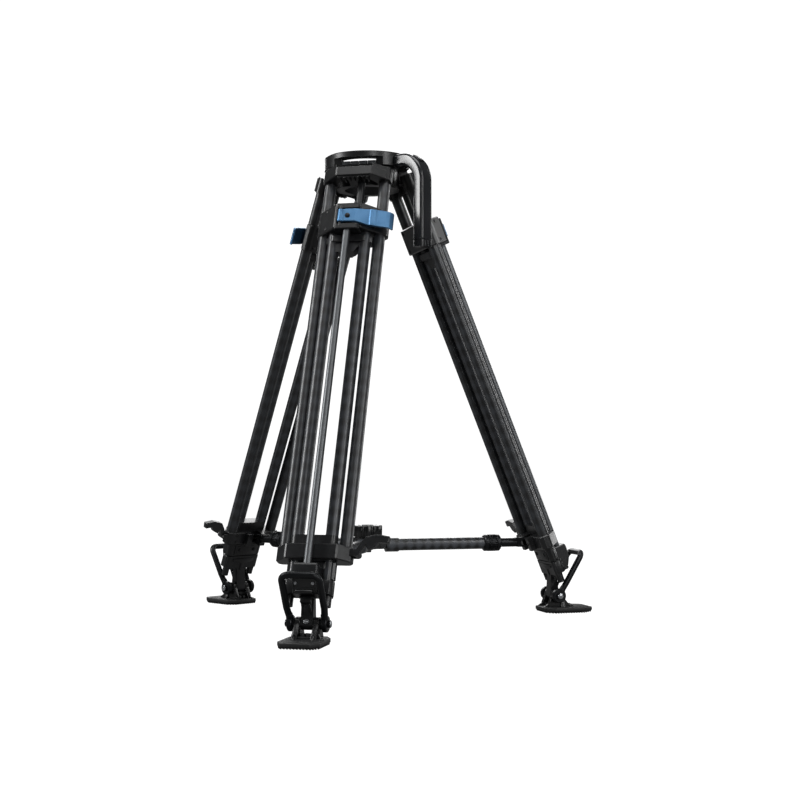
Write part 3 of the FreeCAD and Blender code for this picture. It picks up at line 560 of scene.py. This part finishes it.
def bumpFittings(side):
    place = Matrix.Translation(bump["at"]) @ Matrix.Rotation(bump["lean"], 4, "X")
    shape = bmesh.new()  # a framed recess with a hook bar below it, on the face that leans back
    for low, high in (((-16.0, -0.5, -9.4), (16.0, 1.2, -6.4)), ((-16.0, -0.5, 4.4), (16.0, 1.2, 7.4)),
                      ((-16.0, -0.5, -9.4), (-14.6, 1.2, 7.4)), ((14.6, -0.5, -9.4), (16.0, 1.2, 7.4))):
        block(shape, low, high, 0.5, place)
    drum(shape, (0, 1.4, 10.2), "u", 2.9, 2 * bump["hookHalf"], 1.3, place=place)
    block(shape, (-6.5, -0.4, 9.0), (6.5, 2.6, 13.0), 0.8, place)
    finishPiece(side + "_bump_hook", shape, legFrame(side), side + "_leg_middle", finishes["block"])
    screws = bmesh.new()
    for u in (-12.2, 12.2):
        drum(screws, (u, 0.5, -1.2), "v", 2.3, 1.6, 0.4, place=place)
        drum(screws, (u, 1.2, -1.2), "v", 1.1, 0.6, 0.1, 6, place=place)
    finishPiece(side + "_bump_screws", screws, legFrame(side), side + "_leg_middle", finishes["steel"])


clampScrews = {"rows": (98.5, 127.5), "frontU": 37.5, "backU": 40.0, "slope": math.atan2(24, 29)}
collarScrews = {"rows": (624.0, 635.5), "u": 36.0}


def blockScrews(side):  # black socket screws on the upper leg's castings
    shape = bmesh.new()
    for way in (-1, 1):
        turn = Matrix.Rotation(-way * clampScrews["slope"], 4, "Z")  # the clamp's front slopes back
        for w in clampScrews["rows"]:
            place = Matrix.Translation((way * clampScrews["frontU"], 17.7, w)) @ turn
            socketScrew(shape, (0, 0.2, 0), 1, 2.7, 1.4, place)
            socketScrew(shape, (way * clampScrews["backU"], -12.5, w), -1, 3.0, 1.6)
        for w in collarScrews["rows"]:  # through the mid collar, from behind
            socketScrew(shape, (way * collarScrews["u"], -11.2, w), -1, 2.7, 1.4)
    for n in range(7):  # ribs cast under the yoke's beam
        u = (n - 3) * 7.2
        deep = 28.4 - max(0.0, abs(u) - 21) * 0.7
        block(shape, (u - 1.1, 13.5, 40.2), (u + 1.1, deep - 1.0, 44.6), 0.5)
    block(shape, (-24.5, 25.6, 40.2), (24.5, 27.6, 43.4), 0.6)
    finishPiece(side + "_upper_hardware", shape, legFrame(side), side + "_leg_upper", finishes["casting"])


def rearPlates(side):  # the back of the mid block: a cover plate, its two screws and a rib to the ankle
    shape = bmesh.new()
    block(shape, (-24, -1.2, 645), (24, 1.0, 664.5), 0.7)
    block(shape, (-20.5, -1.9, 648), (20.5, 0.0, 661.5), 0.6)
    finishPiece(side + "_mid_cover", shape, legFrame(side), side + "_leg_middle", finishes["block"])
    screws = bmesh.new()
    for u in (-15.5, 15.5):
        socketScrew(screws, (u, -2.1, 654.8), -1, 3.0, 1.6)
    finishPiece(side + "_mid_cover_screws", screws, legFrame(side), side + "_leg_middle", finishes["ring"])
    lower = bmesh.new()
    plate(lower, [(-22, 672), (22, 672), (22, 677), (3.2, 681), (3.2, 700), (-3.2, 700), (-3.2, 681),
                  (-22, 677)], "v", -1.3, 1.2, 0.6)
    finishPiece(side + "_ankle_rib", lower, legFrame(side), side + "_leg_lower", finishes["block"])


def thumbRibs(side):  # grip ribs across the thumb lever's finger pad
    shape = bmesh.new()
    for n in range(6):
        u = 73.5 + n * 4.6
        w = 603.4 - 3.4 * math.sin(min(1.0, n / 3) * math.pi / 2) + 0.9 * max(0, n - 3)
        block(shape, (u - 0.9, -4.3, w - 0.2), (u + 0.9, 4.3, w + 2.2), 0.4)
    finishPiece(side + "_thumb_ribs", shape, legFrame(side), side + "_thumb_lever", finishes["block"])


handle = {"halfWide": 12.2, "halfDeep": 9.6, "corner": 4.6, "root": 67.6, "top": 700.2, "out": 80.0,
          "bend": 36.25, "low": 564.5}


def carryHandle():  # one rounded bar swept level from the crown, round its bend and straight down
    shape = bmesh.new()
    made = bmesh.ops.create_grid(shape, x_segments=1, y_segments=1, size=1.0)
    bmesh.ops.scale(shape, vec=(handle["halfWide"], handle["halfDeep"], 1), verts=made["verts"])
    bmesh.ops.bevel(shape, geom=list(shape.verts), offset=handle["corner"], offset_type="OFFSET", segments=7,
                    profile=0.5, affect="VERTICES", material=-1)
    bmesh.ops.transform(shape, verts=shape.verts,
                        matrix=Matrix.Translation((0, -handle["root"], handle["top"]))
                        @ Matrix.Rotation(math.pi / 2, 4, "X"))
    grown = bmesh.ops.extrude_face_region(shape, geom=shape.faces[:])["geom"]
    bmesh.ops.translate(shape, verts=[g for g in grown if isinstance(g, bmesh.types.BMVert)],
                        vec=(0, handle["root"] - handle["out"], 0))
    face = [g for g in grown if isinstance(g, bmesh.types.BMFace)][0]
    turned = bmesh.ops.spin(shape, geom=[face], cent=(0, -handle["out"], handle["top"] - handle["bend"]),
                            axis=(1, 0, 0), angle=math.pi / 2, steps=28, use_duplicate=False)
    face = [g for g in turned["geom_last"] if isinstance(g, bmesh.types.BMFace)][0]
    grown = bmesh.ops.extrude_face_region(shape, geom=[face])["geom"]
    ends = [g for g in grown if isinstance(g, bmesh.types.BMVert)]
    bmesh.ops.translate(shape, verts=ends, vec=(0, 0, handle["low"] - handle["top"] + handle["bend"]))
    for old in [f for f in shape.faces if len(f.verts) > 8]:  # walls left inside where two lengths join
        middle = old.calc_center_median()
        if middle.y < -handle["root"] - 0.4 and middle.z > handle["low"] + 1:
            bmesh.ops.delete(shape, geom=[old], context="FACES_ONLY")
    bmesh.ops.remove_doubles(shape, verts=shape.verts, dist=0.005)
    finishPiece("carry_grip", shape, levelFrame(60), "crown", finishes["grip"], ["carry_handle"])


def handleTrim():
    shape = bmesh.new()  # end cap tabs, and the lock slot over the bend
    y = -handle["out"] - handle["bend"]
    for x in (-6.4, 0.0, 6.4):
        block(shape, (x - 2.0, y - 10.2, handle["low"] + 0.6), (x + 2.0, y - 8.9, 573.0), 0.5)
    block(shape, (-12.6, y - 10.0, 574.5), (12.6, y + 10.0, 576.0), 0.5)
    place = (Matrix.Translation((0, -handle["out"], handle["top"] - handle["bend"]))
             @ Matrix.Rotation(math.radians(38), 4, "X"))
    block(shape, (-4.4, -9.5, 45.0), (4.4, 9.5, 46.2), 0.5, place)
    finishPiece("handle_trim", shape, levelFrame(60), "crown", finishes["ring"])


for side in legs:
    footPad(side)
    padEars(side)
    bail(side)
    clampLever(side)
    twistCollar(side)
    ankleBolt(side)
    ankleFittings(side)
    padBumpers(side)
    bumpFittings(side)
    blockScrews(side)
    rearPlates(side)
    thumbRibs(side)
hubKnob()
carryHandle()
handleTrim()
print("feet, levers, collars and knob made")

# Stage
studio = {"floorHalf": 60.0, "floorGlow": (0.05, 1.0), "sky": (0.07, 1.1), "aim": Vector((0, 0.05, 0.35))}
floorMesh = bpy.data.meshes.new("floor")
shape = bmesh.new()
bmesh.ops.create_grid(shape, x_segments=1, y_segments=1, size=studio["floorHalf"])
shape.to_mesh(floorMesh)
shape.free()
floor = bpy.data.objects.new("floor", floorMesh)
scene.collection.objects.link(floor)
paper, tree, shade = startMaterial("whitePaper", {
    "Base Color": linear("#6a6a6a"), "Roughness": 0.9, "Specular IOR Level": 0.0,
    "Emission Color": linear("#ffffff")})
# The floor and the sky are bright to the camera alone, so that they light the metal only softly.
seen = addNode(tree, "ShaderNodeLightPath").outputs["Is Camera Ray"]
glow = addNode(tree, "ShaderNodeMapRange", {3: studio["floorGlow"][0], 4: studio["floorGlow"][1]}, {0: seen})
tree.links.new(glow.outputs[0], shade.inputs["Emission Strength"])
floorMesh.materials.append(paper)

world = bpy.data.worlds.new("studio")
scene.world = world
world.use_nodes = True
tree = world.node_tree
tree.nodes.clear()
seen = addNode(tree, "ShaderNodeLightPath").outputs["Is Camera Ray"]
strength = addNode(tree, "ShaderNodeMapRange", {3: studio["sky"][0], 4: studio["sky"][1]}, {0: seen})
sky = addNode(tree, "ShaderNodeBackground", {"Color": linear("#ffffff")}, {"Strength": strength.outputs[0]})
addNode(tree, "ShaderNodeOutputWorld", {}, {"Surface": sky.outputs[0]})

lights = {"key": {"at": (-2.3, -0.9, 1.7), "size": (0.5, 1.9), "power": 54},
          "side": {"at": (2.2, -1.0, 1.3), "size": (0.25, 2.2), "power": 20},
          "strip": {"at": (1.35, -2.3, 1.1), "size": (0.12, 2.0), "power": 18},
          "back": {"at": (-0.8, 2.2, 1.5), "size": (1.6, 1.4), "power": 30},
          "rim": {"at": (1.6, 1.8, 1.0), "size": (0.25, 2.0), "power": 15},
          "top": {"at": (0.1, -0.4, 2.4), "size": (1.6, 1.2), "power": 26}}
for name, light in lights.items():
    lamp = bpy.data.lights.new(name, "AREA")
    lamp.shape = "RECTANGLE"
    lamp.size, lamp.size_y = light["size"]
    lamp.energy = light["power"]
    held = bpy.data.objects.new(name, lamp)
    held.location = light["at"]
    held.rotation_euler = (studio["aim"] - held.location).to_track_quat("-Z", "Y").to_euler()
    scene.collection.objects.link(held)

view = {"lens": 63.48, "sensor": 36.0, "right": 0.5586, "back": 2.1184, "height": 0.255, "pitch": 0.0375,
        "heading": (-0.2327, 0.97255)}
camera = bpy.data.objects.new("camera", bpy.data.cameras.new("camera"))
camera.data.lens = view["lens"]
camera.data.sensor_width = view["sensor"]
camera.location = (view["right"], tripod["crownY"] * mm - view["back"], view["height"])
ahead = Vector((*(part * math.cos(view["pitch"]) for part in view["heading"]), math.sin(view["pitch"])))
camera.rotation_euler = ahead.to_track_quat("-Z", "Y").to_euler()
scene.collection.objects.link(camera)
scene.camera = camera
scene.view_settings.view_transform = "Standard"
print("stage, lights and camera set")
